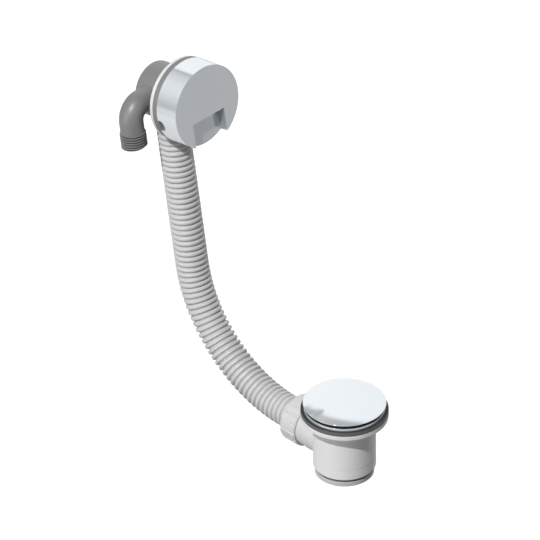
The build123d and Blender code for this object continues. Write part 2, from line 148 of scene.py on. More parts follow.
def moulded(name, colour, roughness, mottle, grain, shine=0.5):
    """Moulded plastic or rubber: a faint cloud in its colour and gloss, and a fine grain."""
    cloud_scale = 70
    cloud_detail = 4
    gloss_drift = 0.05
    grain_scale = 1400
    grain_depth = 0.0002
    material = bpy.data.materials.new(name)
    material.use_nodes = True
    make, join = material.node_tree.nodes.new, material.node_tree.links.new
    shader = material.node_tree.nodes["Principled BSDF"]
    shader.inputs["Specular IOR Level"].default_value = shine
    place = make("ShaderNodeTexCoord")
    cloud = make("ShaderNodeTexNoise")
    cloud.inputs["Scale"].default_value = cloud_scale
    cloud.inputs["Detail"].default_value = cloud_detail
    tint = make("ShaderNodeValToRGB")
    for element, shift in zip(tint.color_ramp.elements, (1 - mottle, 1 + mottle)):
        element.color = (*[min(channel * shift, 1) for channel in colour], 1)
    gloss = make("ShaderNodeMapRange")
    gloss.inputs["To Min"].default_value = roughness - gloss_drift
    gloss.inputs["To Max"].default_value = roughness + gloss_drift
    speckle = make("ShaderNodeTexNoise")
    speckle.inputs["Scale"].default_value = grain_scale
    bump = make("ShaderNodeBump")
    bump.inputs["Strength"].default_value = grain
    bump.inputs["Distance"].default_value = grain_depth
    join(place.outputs["Object"], cloud.inputs["Vector"])
    join(place.outputs["Object"], speckle.inputs["Vector"])
    join(cloud.outputs["Fac"], tint.inputs["Fac"])
    join(cloud.outputs["Fac"], gloss.inputs["Value"])
    join(speckle.outputs["Fac"], bump.inputs["Height"])
    join(tint.outputs["Color"], shader.inputs["Base Color"])
    join(gloss.outputs["Result"], shader.inputs["Roughness"])
    join(bump.outputs["Normal"], shader.inputs["Normal"])
    return material


pot_low, pot_high = size_of("waste_body")
pot_flange_radius = pot_high.x
pot_top, pot_end, spigot_end = pot_high.z, pot_low.z, pot_high.y
pot_flange_thickness = 4.0
pot_radius = 25.3
pot_bore = 23.1
pot_edge = 0.5
mouth_flare = 1.2
skirt_height = 8.5
skirt_line_depth = 0.45
skirt_line_width = 0.6
outlet_height = 7.2
outlet_taper = 3.0
pot_bottom = pot_end + outlet_height
skirt_top = pot_bottom + skirt_height
outlet_radius = 23.9
outlet_rim = 4.3
outlet_groove = 22.0
outlet_bore = 20.2
branch_z = -34.6
branch_radius = 18.1
branch_neck_end = 29.8
spigot_radius = 17.7
hose_stop = 31.0
hose_bore = 10.8
socket_radius = 14.0
socket_seat = 3.0
socket_rim = 16.5
branch_shade_tone = 0.59
foot_shade_tone = 0.50
groove_shade_tone = 0.25
shade_roughness = 0.5
BRANCH = Matrix.Translation((0, 0, branch_z)) @ Matrix.Rotation(math.radians(-90), 4, "X")

white_plastic = moulded("white_plastic", (0.73, 0.73, 0.73), roughness=0.42, mottle=0.02, grain=0.05)
pot = turned(
    [
        (0, pot_top),
        (pot_flange_radius, pot_top),
        (pot_flange_radius, pot_top - pot_flange_thickness),
        (pot_radius, pot_top - pot_flange_thickness),
        (pot_radius, skirt_top + skirt_line_width),
        (pot_radius - skirt_line_depth, skirt_top + skirt_line_width),
        (pot_radius - skirt_line_depth, skirt_top),
        (pot_radius, skirt_top),
        (pot_radius, pot_bottom),
        (outlet_groove, pot_bottom),
        (outlet_groove, pot_end + outlet_rim),
        (outlet_radius, pot_end + outlet_rim),
        (outlet_radius, pot_end),
        (0, pot_end),
    ],
    closed=False,
)
soften(pot, pot_edge, lambda edge: abs(edge.verts[0].co.z - skirt_top) > 2 * skirt_line_width)
branch = turned(
    [
        (0, 0),
        (branch_radius, 0),
        (branch_radius, branch_neck_end),
        (spigot_radius, branch_neck_end),
        (spigot_radius, spigot_end),
        (0, spigot_end),
    ],
    closed=False,
)
branch.transform(BRANCH)
pot = carved(pot, branch, "UNION")
pot_inside = turned(
    [
        (0, pot_top + OVERCUT),
        (pot_bore + mouth_flare, pot_top + OVERCUT),
        (pot_bore + mouth_flare, pot_top),
        (pot_bore, pot_top - mouth_flare),
        (pot_bore, pot_bottom + outlet_taper),
        (outlet_bore, pot_bottom),
        (outlet_bore, pot_end - OVERCUT),
        (0, pot_end - OVERCUT),
    ],
    closed=False,
)
pot = carved(pot, pot_inside, "DIFFERENCE")
branch_inside = turned(
    [
        (0, 0),
        (hose_bore, 0),
        (hose_bore, hose_stop),
        (socket_radius, hose_stop),
        (socket_radius, spigot_end - socket_seat),
        (socket_rim, spigot_end),
        (socket_rim, spigot_end + OVERCUT),
        (0, spigot_end + OVERCUT),
    ],
    closed=False,
)
branch_inside.transform(BRANCH)
pot = carved(pot, branch_inside, "DIFFERENCE")
waste_pot = show(pot, "waste_pot", "waste_body", white_plastic)
# Painted shade: darker greys on the branch, the outlet rim and the groove above it, picked by place.
painted_shade_tones = {"branch_painted_shade": branch_shade_tone, "foot_painted_shade": foot_shade_tone, "groove_painted_shade": groove_shade_tone}
for name, tone in painted_shade_tones.items():
    shaded_plastic = moulded(name, (tone, tone, tone), roughness=shade_roughness, mottle=0.02, grain=0.05)
    waste_pot.data.materials.append(shaded_plastic)
branch_shade_slot, foot_shade_slot, groove_shade_slot = 1, 2, 3
branch_below = pot_top - pot_flange_thickness - pot_edge - NEAR
for face in waste_pot.data.polygons:
    x, y, z = face.center / MM
    off_axis = math.hypot(x, y)
    if off_axis > pot_radius + NEAR and z < branch_below:
        face.material_index = branch_shade_slot
    elif off_axis > outlet_groove - NEAR and z < pot_bottom - NEAR:
        face.material_index = groove_shade_slot if z > pot_end + outlet_rim - NEAR else foot_shade_slot

# The gasket is a thick ring of soft dark rubber, squeezed between the bath floor and the flanges.
# It is punched from sheet, and its edges are only slightly rounded. Its top face is painted near black
# as the shadow under the chrome rim.
gasket_low, gasket_high = size_of("waste_gasket")
gasket_bore = 28.0
gasket_edge = 0.3
shade_facing = 0.9
dark_rubber = moulded("dark_rubber", (0.105, 0.105, 0.107), roughness=0.6, mottle=0.08, grain=0.2)
gasket_top_shade = moulded("gasket_top_shade", (0.02, 0.02, 0.021), roughness=0.6, mottle=0.08, grain=0.2)
gasket = turned(
    [
        (gasket_bore, gasket_low.z),
        (gasket_high.x, gasket_low.z),
        (gasket_high.x, gasket_high.z),
        (gasket_bore, gasket_high.z),
    ]
)
soften(gasket, gasket_edge)
floor_gasket = show(gasket, "floor_gasket", "waste_gasket", dark_rubber)
# Painted shade: faces that look up get near-black rubber, for the shadow under the chrome rim.
floor_gasket.data.materials.append(gasket_top_shade)
for face in floor_gasket.data.polygons:
    face.material_index = 1 if face.normal.z > shade_facing else 0

# The waste flange is turned brass with polished chrome plate: a rim that lies on the bath floor, a
# funnel, a tail that screws into the pot, and a cross web with a hub that holds the clicker.


def plated(name, colour, metal, roughness):
    """Polished metal or plate, with a faint drift in colour and gloss."""
    cloud_scale = 40
    cloud_detail = 3
    colour_drift = 0.03
    gloss_drift = 0.04
    material = bpy.data.materials.new(name)
    material.use_nodes = True
    make, join = material.node_tree.nodes.new, material.node_tree.links.new
    shader = material.node_tree.nodes["Principled BSDF"]
    shader.inputs["Metallic"].default_value = metal
    place = make("ShaderNodeTexCoord")
    cloud = make("ShaderNodeTexNoise")
    cloud.inputs["Scale"].default_value = cloud_scale
    cloud.inputs["Detail"].default_value = cloud_detail
    tint = make("ShaderNodeValToRGB")
    for element, shift in zip(tint.color_ramp.elements, (1 - colour_drift, 1 + colour_drift)):
        element.color = (*[min(channel * shift, 1) for channel in colour], 1)
    gloss = make("ShaderNodeMapRange")
    gloss.inputs["To Min"].default_value = roughness
    gloss.inputs["To Max"].default_value = roughness + gloss_drift
    join(place.outputs["Object"], cloud.inputs["Vector"])
    join(cloud.outputs["Fac"], tint.inputs["Fac"])
    join(cloud.outputs["Fac"], gloss.inputs["Value"])
    join(tint.outputs["Color"], shader.inputs["Base Color"])
    join(gloss.outputs["Result"], shader.inputs["Roughness"])
    return material


def block(low, high):
    """Box between two corners."""
    bm = bmesh.new()
    bmesh.ops.create_cube(bm, size=1)
    low, high = Vector(low), Vector(high)
    bmesh.ops.scale(bm, vec=high - low, verts=bm.verts)
    bmesh.ops.translate(bm, vec=(low + high) / 2, verts=bm.verts)
    return bm


def rod(radius, start, end, steps=64):
    """Plain round bar along z."""
    return turned([(0, start), (radius, start), (radius, end), (0, end)], steps, closed=False)


flange_low, flange_high = size_of("waste_flange")
rim_radius, rim_top, tail_end = flange_high.x, flange_high.z, flange_low.z
funnel_radius = 27.5
funnel_depth = 4.5
tail_radius = 22.8
throat_radius = 20.3
rim_slope = 0.12
rim_edge = 1.5
rim_rounding = 0.2
seat_width = 2.4
seat_drop = 0.6
spoke_width = 3.2
spoke_height = 5.0
spoke_bite = 1.0
hub_radius = 9.6
hub_bore = 6.2
hub_height = 8.0
hub_edge = 0.4
chrome_tint = (0.80, 0.84, 0.87)
chrome_metal = 0.66
chrome_roughness = 0.06
chrome = plated("chrome", chrome_tint, chrome_metal, chrome_roughness)
rim = turned(
    [
        (throat_radius, tail_end),
        (tail_radius, tail_end),
        (tail_radius, -funnel_depth),
        (funnel_radius, 0),
        (rim_radius, 0),
        (rim_radius, rim_top - rim_edge),
        (rim_radius - rim_slope, rim_top),
        (rim_radius - seat_width, rim_top),
        (funnel_radius, rim_top - seat_drop),
        (throat_radius, -funnel_depth),
    ],
    steps=128,
)
soften(rim, rim_rounding)
for turn in (0, 90):
    spoke = block(
        (-throat_radius - spoke_bite, -spoke_width / 2, tail_end),
        (throat_radius + spoke_bite, spoke_width / 2, tail_end + spoke_height),
    )
    spoke.transform(Matrix.Rotation(math.radians(turn), 4, "Z"))
    rim = carved(rim, spoke, "UNION")
hub = rod(hub_radius, tail_end, tail_end + hub_height, steps=96)
rim = carved(rim, soften(hub, hub_edge), "UNION")
hub_hole = rod(hub_bore, tail_end - OVERCUT, tail_end + hub_height + OVERCUT, steps=96)
rim = carved(rim, hub_hole, "DIFFERENCE")
show(rim, "waste_rim", "waste_flange", chrome)

# The clicker stands in the hub: a brass barrel held by a brass nut, with a brass plunger, a toothed
# plastic rotor and a steel spring inside. They are nearly hidden, so they keep their CAD shapes.


def finish(node, material):
    """Gives a CAD node that keeps its shape a better material."""
    piece = cad[node]
    piece.data.materials.clear()
    piece.data.materials.append(material)


brass = plated("brass", (0.66, 0.47, 0.20), metal=1, roughness=0.22)
steel = plated("steel", (0.56, 0.57, 0.58), metal=1, roughness=0.2)
black_plastic = moulded("black_plastic", (0.035, 0.036, 0.038), roughness=0.45, mottle=0.06, grain=0.08)
finish("clicker_housing", brass)
finish("clicker_nut", brass)
finish("clicker_plunger", brass)
finish("clicker_rotor", black_plastic)
finish("clicker_spring", steel)

# The plug is a domed chrome cover over a black plastic carrier and a black rubber seal. It is pushed
# down to close and springs up to open, and its boss screws on to the clicker's stud.
seal_low, seal_high = size_of("plug_seal")
cover_low, cover_high = size_of("plug_cover")
cover_radius = cover_high.x
cover_lift = 0.4
cover_edge_z = seal_high.z + cover_lift
cover_edge = 0.3
cover_wall = 1.6
cover_rounding = 0.12
dome_roughness = 0.10
boss_radius = 5.5
boss_clearance = 1.0
stud_bore = 3.3
stud_top = 5.8
crown_rise = cover_high.z - cover_edge_z - cover_edge
crown_sphere = (cover_radius**2 + crown_rise**2) / (2 * crown_rise)


def crown(radius, sphere, step_count):
    """Corners along a spherical crown, from its edge to its middle."""
    centre = cover_high.z - crown_sphere
    slope = math.asin(radius / sphere)
    angles = [slope * (1 - step / step_count) for step in range(step_count + 1)]
    return [(sphere * math.sin(angle), centre + sphere * math.cos(angle)) for angle in angles]


outside = crown(cover_radius, crown_sphere, step_count=20)
inside = crown(cover_radius - cover_wall, crown_sphere - cover_wall, step_count=12)
inside = [corner for corner in inside if corner[0] > boss_radius + boss_clearance]
cover = turned(
    [
        (0, stud_top),
        (stud_bore, stud_top),
        (stud_bore, cover_low.z),
        (boss_radius, cover_low.z),
        (boss_radius, inside[-1][1]),
        *reversed(inside),
        (cover_radius - cover_wall, cover_edge_z),
        (cover_radius, cover_edge_z),
        *outside,
    ],
    steps=128,
    closed=False,
)
dome_chrome = plated("dome_chrome", chrome_tint, chrome_metal, dome_roughness)
show(soften(cover, cover_rounding), "plug_dome", "plug_cover", dome_chrome)

seal_bore = 25.5
seal_lip = 0.9
seal_groove = 26.8
seal_edge = 0.25
black_rubber = moulded(
    "black_rubber", (0.010, 0.011, 0.012), roughness=0.5, mottle=0.1, grain=0.1, shine=0.15
)
seal = turned(
    [
        (seal_bore, seal_low.z),
        (seal_high.x, seal_low.z),
        (seal_high.x, cover_edge_z),
        (seal_bore, cover_edge_z),
        (seal_bore, seal_high.z - seal_lip),
        (seal_groove, seal_high.z - seal_lip),
        (seal_groove, seal_low.z + seal_lip),
        (seal_bore, seal_low.z + seal_lip),
    ],
    steps=128,
)
show(soften(seal, seal_edge), "plug_washer", "plug_seal", black_rubber)
finish("plug_carrier", black_plastic)

# The overflow hose is a blow-moulded corrugated pipe of pale plastic. It leaves the waste level,
# bends up behind the bath and follows the slope of the wall to the spigot of the filler head.
head_tilt = math.radians(10)
wall_up = Vector((0, math.sin(head_tilt), math.cos(head_tilt)))
wall_back = Vector((0, math.cos(head_tilt), -math.sin(head_tilt)))
rib_radius = 13.5
rib_depth = 2.2
rib_count = 66
groove_narrowing = 6
hose_gap = 0.3
level_start = hose_stop + hose_gap
level_run = 33.0
bend_radius = 110.0
bend_angle = math.pi / 2 - head_tilt
bend_run = bend_radius * bend_angle
upright_run = 131.4
hose_length = level_run + bend_run + upright_run
rib_pitch = hose_length / rib_count

hose_plastic = moulded("hose_plastic", (0.56, 0.56, 0.56), roughness=0.45, mottle=0.02, grain=0.05)
facets_per_rib = 12
hose_outside = [
    (
        rib_radius - rib_depth * abs(math.cos(math.pi * facet / facets_per_rib)) ** groove_narrowing,
        rib_pitch * (rib + facet / facets_per_rib),
    )
    for rib in range(rib_count)
    for facet in range(facets_per_rib)
]
hose_outside.append((rib_radius - rib_depth, hose_length))
hose_inside = [(hose_bore, rib_pitch * rib) for rib in range(rib_count, -1, -1)]
hose = turned(hose_outside + hose_inside, steps=56)


def along_hose(distance):
    """Middle of the hose at that distance along it, and the direction across it that starts upwards."""
    turn = min(max((distance - level_run) / bend_radius, 0), bend_angle)
    forward = Vector((0, math.cos(turn), math.sin(turn)))
    upward = Vector((0, -math.sin(turn), math.cos(turn)))
    middle = Vector((0, level_start + min(distance, level_run), branch_z))
    middle += bend_radius * Vector((0, math.sin(turn), 1 - math.cos(turn)))
    middle += forward * max(distance - level_run - bend_run, 0)
    return middle, upward


for vert in hose.verts:
    side, lift, distance = vert.co
    middle, upward = along_hose(distance)
    vert.co = middle + Vector((side, 0, 0)) + upward * lift
bmesh.ops.recalc_face_normals(hose, faces=hose.faces)
show(hose, "ribbed_hose", "overflow_hose", hose_plastic)

# The hose nut is a white moulded compression nut with grip ribs. It screws on to the branch and
# squeezes a washer and a cone seal round the hose.
nut_low, nut_high = size_of("hose_nut")
nut_start, nut_end = nut_low.y, nut_high.y
nut_bore = 18.0
nut_radius = 19.2
nut_hole = 14.3
nut_taper = 2.5
nut_taper_radius = 16.8
nut_floor = 3.5
nut_lip = 0.8
nut_edge = 0.25
grip_count = 16
grip_height = 0.6
raised_facets = 7
groove_drop = 0.5
facets_per_grip = 9
facet_count = grip_count * facets_per_grip
nut_plastic = moulded("nut_plastic", (0.59, 0.59, 0.59), roughness=0.42, mottle=0.02, grain=0.05)
nut = turned(
    [
        (nut_bore, nut_start),
        (nut_radius, nut_start),
        (nut_radius, nut_start + nut_lip),
        (nut_radius, nut_end - nut_taper),
        (nut_taper_radius, nut_end),
        (nut_hole, nut_end),
        (nut_hole, nut_end - nut_floor),
        (nut_bore, nut_end - nut_floor),
    ],
    steps=facet_count,
)


def facets_round(point):
    """How many facets round the nut a point lies."""
    return (math.atan2(point.y, point.x) % math.tau) / math.tau * facet_count


grips = []
for face in nut.faces:
    middle = face.calc_center_median()
    outer = math.hypot(middle.x, middle.y) > nut_radius - NEAR
    facet = int(facets_round(middle))
    if outer and middle.z > nut_start + nut_lip and facet % facets_per_grip < raised_facets:
        grips.append(face)
groove_line = (raised_facets + facets_per_grip) // 2
for vert in nut.verts:
    outer = abs(math.hypot(vert.co.x, vert.co.y) - nut_radius) < NEAR
    facet = round(facets_round(vert.co))
    if outer and facet % facets_per_grip == groove_line:
        vert.co.xy *= (nut_radius - groove_drop) / nut_radius
raised = bmesh.ops.extrude_face_region(nut, geom=grips)["geom"]
raised_verts = [item for item in raised if isinstance(item, bmesh.types.BMVert)]
spread = (nut_radius + grip_height) / nut_radius
bmesh.ops.scale(nut, vec=(spread, spread, 1), verts=raised_verts)
bmesh.ops.delete(nut, geom=grips, context="FACES_ONLY")
soften(nut, nut_edge)
show(nut, "compression_nut", "hose_nut", nut_plastic, BRANCH)
finish("hose_washer", white_plastic)
finish("hose_seal", black_rubber)

# The filler body is one grey moulding behind the bath wall: a round chamber that takes the overflow
# water, a spigot that the hose is pushed on to, and an elbow with a threaded inlet. The elbow feeds the
# nozzle in front, which two O-rings seal.
rear_start = 30.8
rear_end = 60.0
rear_radius = 22.7
rear_rounding = 1.5
chamber_radius = 20.2
chamber_end = 57.5
hose_depth = 44.8
hose_boss_radius = 13.0
hose_boss_drop = 24.0
hose_boss_edge = 0.5
hose_spigot_radius = 10.5
hose_spigot_bore = 9.3
hose_spigot_drop = 42.0
drain_bite = 2.5
pipe_radius = 9.85
pipe_bore = 7.0
pipe_rise = 4.0
pipe_depth = 47.0
elbow_reach = 41.0
elbow_bend = 13.0
inlet_start = 18.0
inlet_end = 30.4
thread_crest = 10.75
thread_depth = 1.5
thread_pitch = 2.2
thread_overlap = 0.5
thread_weld = 0.001
thread_root = thread_crest - thread_depth
thread_flank = thread_crest - thread_depth / 2
nozzle_radius = 7.5
nozzle_tip = 9.5
nozzle_bore = 5.0
sleeve_radius = 9.5
shoulder_depth = 17.5
o_ring_groove = 6.3
o_ring_starts = (11.3, 14.1)
o_ring_groove_width = 1.8
screw_x = 15.0
screw_drop = 8.0
screw_boss_radius = 3.5
screw_boss_end = 41.6
screw_hole = 2.1
screw_hole_end = 40.3
across = Vector((1, 0, 0))
hose_end = along_hose(hose_length)[0]
cap_face = hose_end + wall_up * (hose_boss_drop + hose_gap) - wall_back * hose_depth
HEAD = Matrix.Translation(cap_face) @ Matrix((across, -wall_up, wall_back)).transposed().to_4x4()

grey_plastic = moulded(
    "grey_plastic", (0.195, 0.195, 0.198), roughness=0.42, mottle=0.04, grain=0.06, shine=0.7
)
thread_shade = moulded(
    "thread_shade", (0.06, 0.06, 0.061), roughness=0.6, mottle=0.04, grain=0.06, shine=0.2
)


def down(bm, x, depth):
    """Turns a bar along z to point down the wall, at that place in the head."""
    bm.transform(Matrix.Translation((x, 0, depth)) @ Matrix.Rotation(math.radians(-90), 4, "X"))
    return bm


def elbow(radius, start, end):
    """Round bar from the nozzle out to the side and round the bend, down to the inlet."""
    bend_x = elbow_bend - elbow_reach
    bm = bmesh.new()
    bmesh.ops.create_circle(bm, cap_ends=True, radius=radius, segments=64)
    face = bm.faces[:]
    sideways = Matrix.Rotation(math.radians(90), 4, "Y")
    bm.transform(Matrix.Translation((start, -pipe_rise, pipe_depth)) @ sideways)
    run = bmesh.ops.extrude_face_region(bm, geom=face)["geom"]
    verts = [item for item in run if isinstance(item, bmesh.types.BMVert)]
    bmesh.ops.translate(bm, vec=(bend_x - start, 0, 0), verts=verts)
    tip = [item for item in run if isinstance(item, bmesh.types.BMFace)]
    turn = bmesh.ops.spin(
        bm, geom=tip, axis=(0, 0, -1), cent=(bend_x, elbow_bend - pipe_rise, pipe_depth),
        angle=math.pi / 2, steps=18,
    )["geom_last"]
    bmesh.ops.delete(bm, geom=tip, context="FACES")
    tip = [item for item in turn if isinstance(item, bmesh.types.BMFace)]
    run = bmesh.ops.extrude_face_region(bm, geom=tip)["geom"]
    verts = [item for item in run if isinstance(item, bmesh.types.BMVert)]
    bmesh.ops.translate(bm, vec=(0, end - elbow_bend + pipe_rise, 0), verts=verts)
    bmesh.ops.delete(bm, geom=tip, context="FACES")
    bmesh.ops.remove_doubles(bm, verts=bm.verts, dist=WELD)
    bmesh.ops.recalc_face_normals(bm, faces=bm.faces)
    return bm


def screw_thread(start, end):
    """Helical thread on a round core, cut flat at both ends."""
    spare_turns = 2
    turns = math.ceil((end - start) / thread_pitch) + spare_turns
    low = start - thread_pitch
    profile = [
        (0, thread_root),
        (0.22, thread_flank),
        (0.45, thread_crest),
        (0.55, thread_crest),
        (0.78, thread_flank),
    ]
    outline = []
    for turn in range(turns):
        for share, radius in profile:
            outline.append((radius, low + thread_pitch * (turn + share)))
    outline.append((thread_root, low + thread_pitch * turns))
    bm = bmesh.new()
    verts = [bm.verts.new((radius, 0, height)) for radius, height in outline]
    edges = [bm.edges.new(pair) for pair in zip(verts, verts[1:])]
    steps = 64
    bmesh.ops.spin(
        bm, geom=verts + edges, axis=(0, 0, 1), cent=(0, 0, 0), dvec=(0, 0, -thread_pitch / steps),
        angle=2 * math.pi, steps=steps,
    )
    bmesh.ops.remove_doubles(bm, verts=bm.verts, dist=thread_weld)
    for height, facing in ((start, -1), (end, 1)):
        everything = bm.verts[:] + bm.edges[:] + bm.faces[:]
        bmesh.ops.bisect_plane(
            bm, geom=everything, plane_co=(0, 0, height), plane_no=(0, 0, facing), clear_outer=True
        )
        cut_edges = [
            edge
            for edge in bm.edges
            if edge.is_boundary and all(abs(vert.co.z - height) < thread_weld for vert in edge.verts)
        ]
        bmesh.ops.edgeloop_fill(bm, edges=cut_edges)
    bmesh.ops.recalc_face_normals(bm, faces=bm.faces)
    return bm


rear = rod(rear_radius, rear_start, rear_end, steps=128)
soften(rear, rear_rounding, lambda edge: edge.verts[0].co.z > rear_end - NEAR)
hose_boss = soften(rod(hose_boss_radius, 0, hose_boss_drop), hose_boss_edge)
rear = carved(rear, down(hose_boss, 0, hose_depth), "UNION")
hose_spigot = rod(hose_spigot_radius, 0, hose_spigot_drop)
rear = carved(rear, down(hose_spigot, 0, hose_depth), "UNION")
chamber = rod(chamber_radius, rear_start - OVERCUT, chamber_end, steps=96)
rear = carved(rear, chamber, "DIFFERENCE")
rear = carved(rear, elbow(pipe_radius, pipe_radius, inlet_start), "UNION")
thread = down(screw_thread(inlet_start - thread_overlap, inlet_end), -elbow_reach, pipe_depth)
rear = carved(rear, thread, "UNION")
nozzle_outline = [(0, nozzle_tip), (nozzle_radius, nozzle_tip)]
for groove in o_ring_starts:
    nozzle_outline += [
        (nozzle_radius, groove),
        (o_ring_groove, groove),
        (o_ring_groove, groove + o_ring_groove_width),
        (nozzle_radius, groove + o_ring_groove_width),
    ]
nozzle_outline += [
    (nozzle_radius, shoulder_depth),
    (sleeve_radius, shoulder_depth),
    (sleeve_radius, pipe_depth),
    (0, pipe_depth),
]
nozzle = turned(nozzle_outline, steps=64, closed=False)
nozzle.transform(Matrix.Translation((0, -pipe_rise, 0)))
rear = carved(rear, nozzle, "UNION")
for side in (-1, 1):
    screw_place = Matrix.Translation((side * screw_x, screw_drop, 0))
    post = rod(screw_boss_radius, rear_start, screw_boss_end, steps=32)
    post.transform(screw_place)
    rear = carved(rear, post, "UNION")
    pilot = rod(screw_hole, rear_start - OVERCUT, screw_hole_end, steps=32)
    pilot.transform(screw_place)
    rear = carved(rear, pilot, "DIFFERENCE")
rear = carved(rear, elbow(pipe_bore, pipe_bore, inlet_end + OVERCUT), "DIFFERENCE")
water_way = rod(nozzle_bore, nozzle_tip - OVERCUT, pipe_depth)
water_way.transform(Matrix.Translation((0, -pipe_rise, 0)))
rear = carved(rear, water_way, "DIFFERENCE")
drain = rod(hose_spigot_bore, chamber_radius - drain_bite, hose_spigot_drop + OVERCUT)
rear = carved(rear, down(drain, 0, hose_depth), "DIFFERENCE")
filler = show(rear, "filler_moulding", "filler_body", grey_plastic, HEAD)
# Painted shade: the faces in the thread's grooves get a near-black grey.
filler.data.materials.append(thread_shade)
for face in filler.data.polygons:
    x, drop, depth = HEAD.inverted() @ (face.center / MM)
    off_axis = math.hypot(x + elbow_reach, depth - pipe_depth)
    in_groove = thread_root < off_axis < thread_flank
    face.material_index = 1 if in_groove and inlet_start < drop < inlet_end else 0
finish("nozzle_o_rings", black_rubber)

# A white moulded flange and a dark rubber gasket close the hole in the bath wall, from behind. Two
# screws through the white clamp plate in front draw them and the filler body tight.
gasket_start = 21.8
flange_start = 27.4
wall_gasket_radius = 34.6
wall_gasket_bore = 24.0
wall_gasket_edge = 0.5
wall_flange_radius = 34.3
wall_flange_edge = 0.7
wall_flange = turned(
    [
        (chamber_radius, flange_start),
        (wall_flange_radius, flange_start),
        (wall_flange_radius, rear_start),
        (chamber_radius, rear_start),
    ],
    steps=128,
)
soften(wall_flange, wall_flange_edge)
show(wall_flange, "wall_flange", "overflow_flange", white_plastic, HEAD)
wall_gasket = turned(
    [
        (wall_gasket_bore, gasket_start),
        (wall_gasket_radius, gasket_start),
        (wall_gasket_radius, flange_start),
        (wall_gasket_bore, flange_start),
    ],
    steps=128,
)
soften(wall_gasket, wall_gasket_edge)
grey_rubber = moulded("grey_rubber", (0.21, 0.21, 0.213), roughness=0.6, mottle=0.06, grain=0.15)
show(wall_gasket, "wall_gasket", "overflow_gasket", grey_rubber, HEAD)
finish("clamp_plate", white_plastic)
finish("clamp_screws", steel)

# The filler cap is a deep chrome cup that hides the overflow, held by a grub screw. A white plastic box
# inside it leads the water from the nozzle to a slot in the roof of the recess at its foot. Two notches
# in its back edge take the overflow.
cap_radius = 35.0
cap_depth = 21.8
cap_front = 3.0
cap_bore = 32.5
cap_rounding = 0.5
recess_half = 17.5
recess_drop = 9.0
recess_depth = 7.2
recess_wall = 2.0
recess_shade_tint = (0.70, 0.735, 0.76)
slot_half = 12.0
slot_start = 3.6
slot_end = 6.6
intake_drop = 7.9
intake_half = 5.2
intake_depth = 6.6
intake_reach = 8.0
intake_rounding = 4.5
grub_radius = 2.0
grub_start = 25.0
grub_depth = 19.1
grub_angle = math.radians(45)


def on_cap_front(edge):
    """Whether an edge is an outer one of the cap's face or recess."""
    return edge.is_convex and min(vert.co.z for vert in edge.verts) < recess_depth + NEAR


def on_notch_floor(edge):
    """Whether an edge runs through the cap's wall along the floor of a notch."""
    start, end = edge.verts
    return max(start.co.z, end.co.z) < 0 and abs(start.co.y - end.co.y) < NEAR


cap = rod(cap_radius, 0, cap_depth, steps=144)
hollow = rod(cap_bore, cap_front, cap_depth + OVERCUT, steps=144)
roof = recess_drop - recess_wall
walls = block(
    (-recess_half - recess_wall, roof, 0),
    (recess_half + recess_wall, cap_radius, recess_depth + recess_wall),
)
hollow = carved(hollow, walls, "DIFFERENCE")
recess = block((-recess_half, recess_drop, -OVERCUT), (recess_half, 2 * cap_radius, recess_depth))
cap = carved(cap, recess, "DIFFERENCE")
soften(cap, cap_rounding, on_cap_front)
cap = carved(cap, hollow, "DIFFERENCE")
slot = block((-slot_half, roof - OVERCUT, slot_start), (slot_half, recess_drop + OVERCUT, slot_end))
cap = carved(cap, slot, "DIFFERENCE")
for side in (-1, 1):
    notch = block((-intake_reach, -intake_half, -intake_depth), (intake_reach, intake_half, intake_depth))
    soften(notch, intake_rounding, on_notch_floor)
    notch.transform(Matrix.Translation((side * cap_radius, intake_drop, cap_depth)))
    cap = carved(cap, notch, "DIFFERENCE")
grub_way = rod(grub_radius, grub_start, 2 * cap_radius, steps=32)
grub_way.transform(
    Matrix.Translation((0, 0, grub_depth))
    @ Matrix.Rotation(grub_angle, 4, "Z")
    @ Matrix.Rotation(math.radians(90), 4, "Y")
)
cap = carved(cap, grub_way, "DIFFERENCE")
cup = show(cap, "filler_cup", "filler_cap", chrome, HEAD)
# Painted shade: the recess's floor and walls get a darker copy of the chrome.
cup.data.materials.append(plated("recess_painted_shade", recess_shade_tint, chrome_metal, chrome_roughness))
for face in cup.data.polygons:
    x, drop, depth = HEAD.inverted() @ (face.center / MM)
    in_recess = abs(x) < recess_half + NEAR and drop > recess_drop - NEAR
    face.material_index = 1 if in_recess and cap_rounding < depth < recess_depth + NEAR else 0
finish("cap_liner", white_plastic)
finish("cap_grub_screw", steel)

# The studio: a white floor well below the hung part, a sun and a softbox on the left, a softbox behind on
# the right, a pale room that the chrome mirrors, and a parallel camera at the photograph's isometric angle.
# The room has a skylight in a dark frame and a tall window, and is dim low down in front of the part.
photo_width = 0.432
photo_middle = Vector((0.00286, 0.08721, 0.09007))
camera_back = Vector((-1, -1, 1)).normalized()
camera_distance = 1.5
sun_from = Vector((-0.61, -0.17, 0.774))
sun_level = 0.85
sun_size = math.radians(1.5)
softbox_from = Vector((-0.98, 0.16, 0.08))
softbox_level = 0.28
softbox_size = math.radians(36)
rear_softbox_from = Vector((0.88, 0.40, 0.26))
rear_softbox_level = 0.45
rear_softbox_size = math.radians(70)
ambient_level = 0.18
floor_z = -0.9
floor_radius = 2.5
floor_white = 0.8
floor_roughness = 0.9
floor_lift = 0.34
wall_foot = (0.37, (0.69, 0.69, 0.70, 1))
wall_head = (1, (0.25, 0.25, 0.26, 1))
wall_tones = [
    (0.44, 0.32), (0.51, 0.39), (0.58, 0.55), (0.68, 0.71),
    (0.76, 0.75), (0.82, 0.65), (0.91, 0.47), (0.97, 0.28),
]
wall_blue = 1.01
skylight_towards = (0.60, 0.42, 0.682)
skylight_low_reach = 0.09
frame_outside, frame_inside = 0.58, 0.87
frame_tones = [(0.66, 0.92), (0.74, 0.83), (0.80, 0.72), (0.838, 0.42)]
window_towards = (1, -0.42, 0)
window_white = (1.07, 1.07, 1.08, 1)
front_half = 0.5
front_left_level = 0.15
front_right_level = 0.73
white = (1, 1, 1, 1)

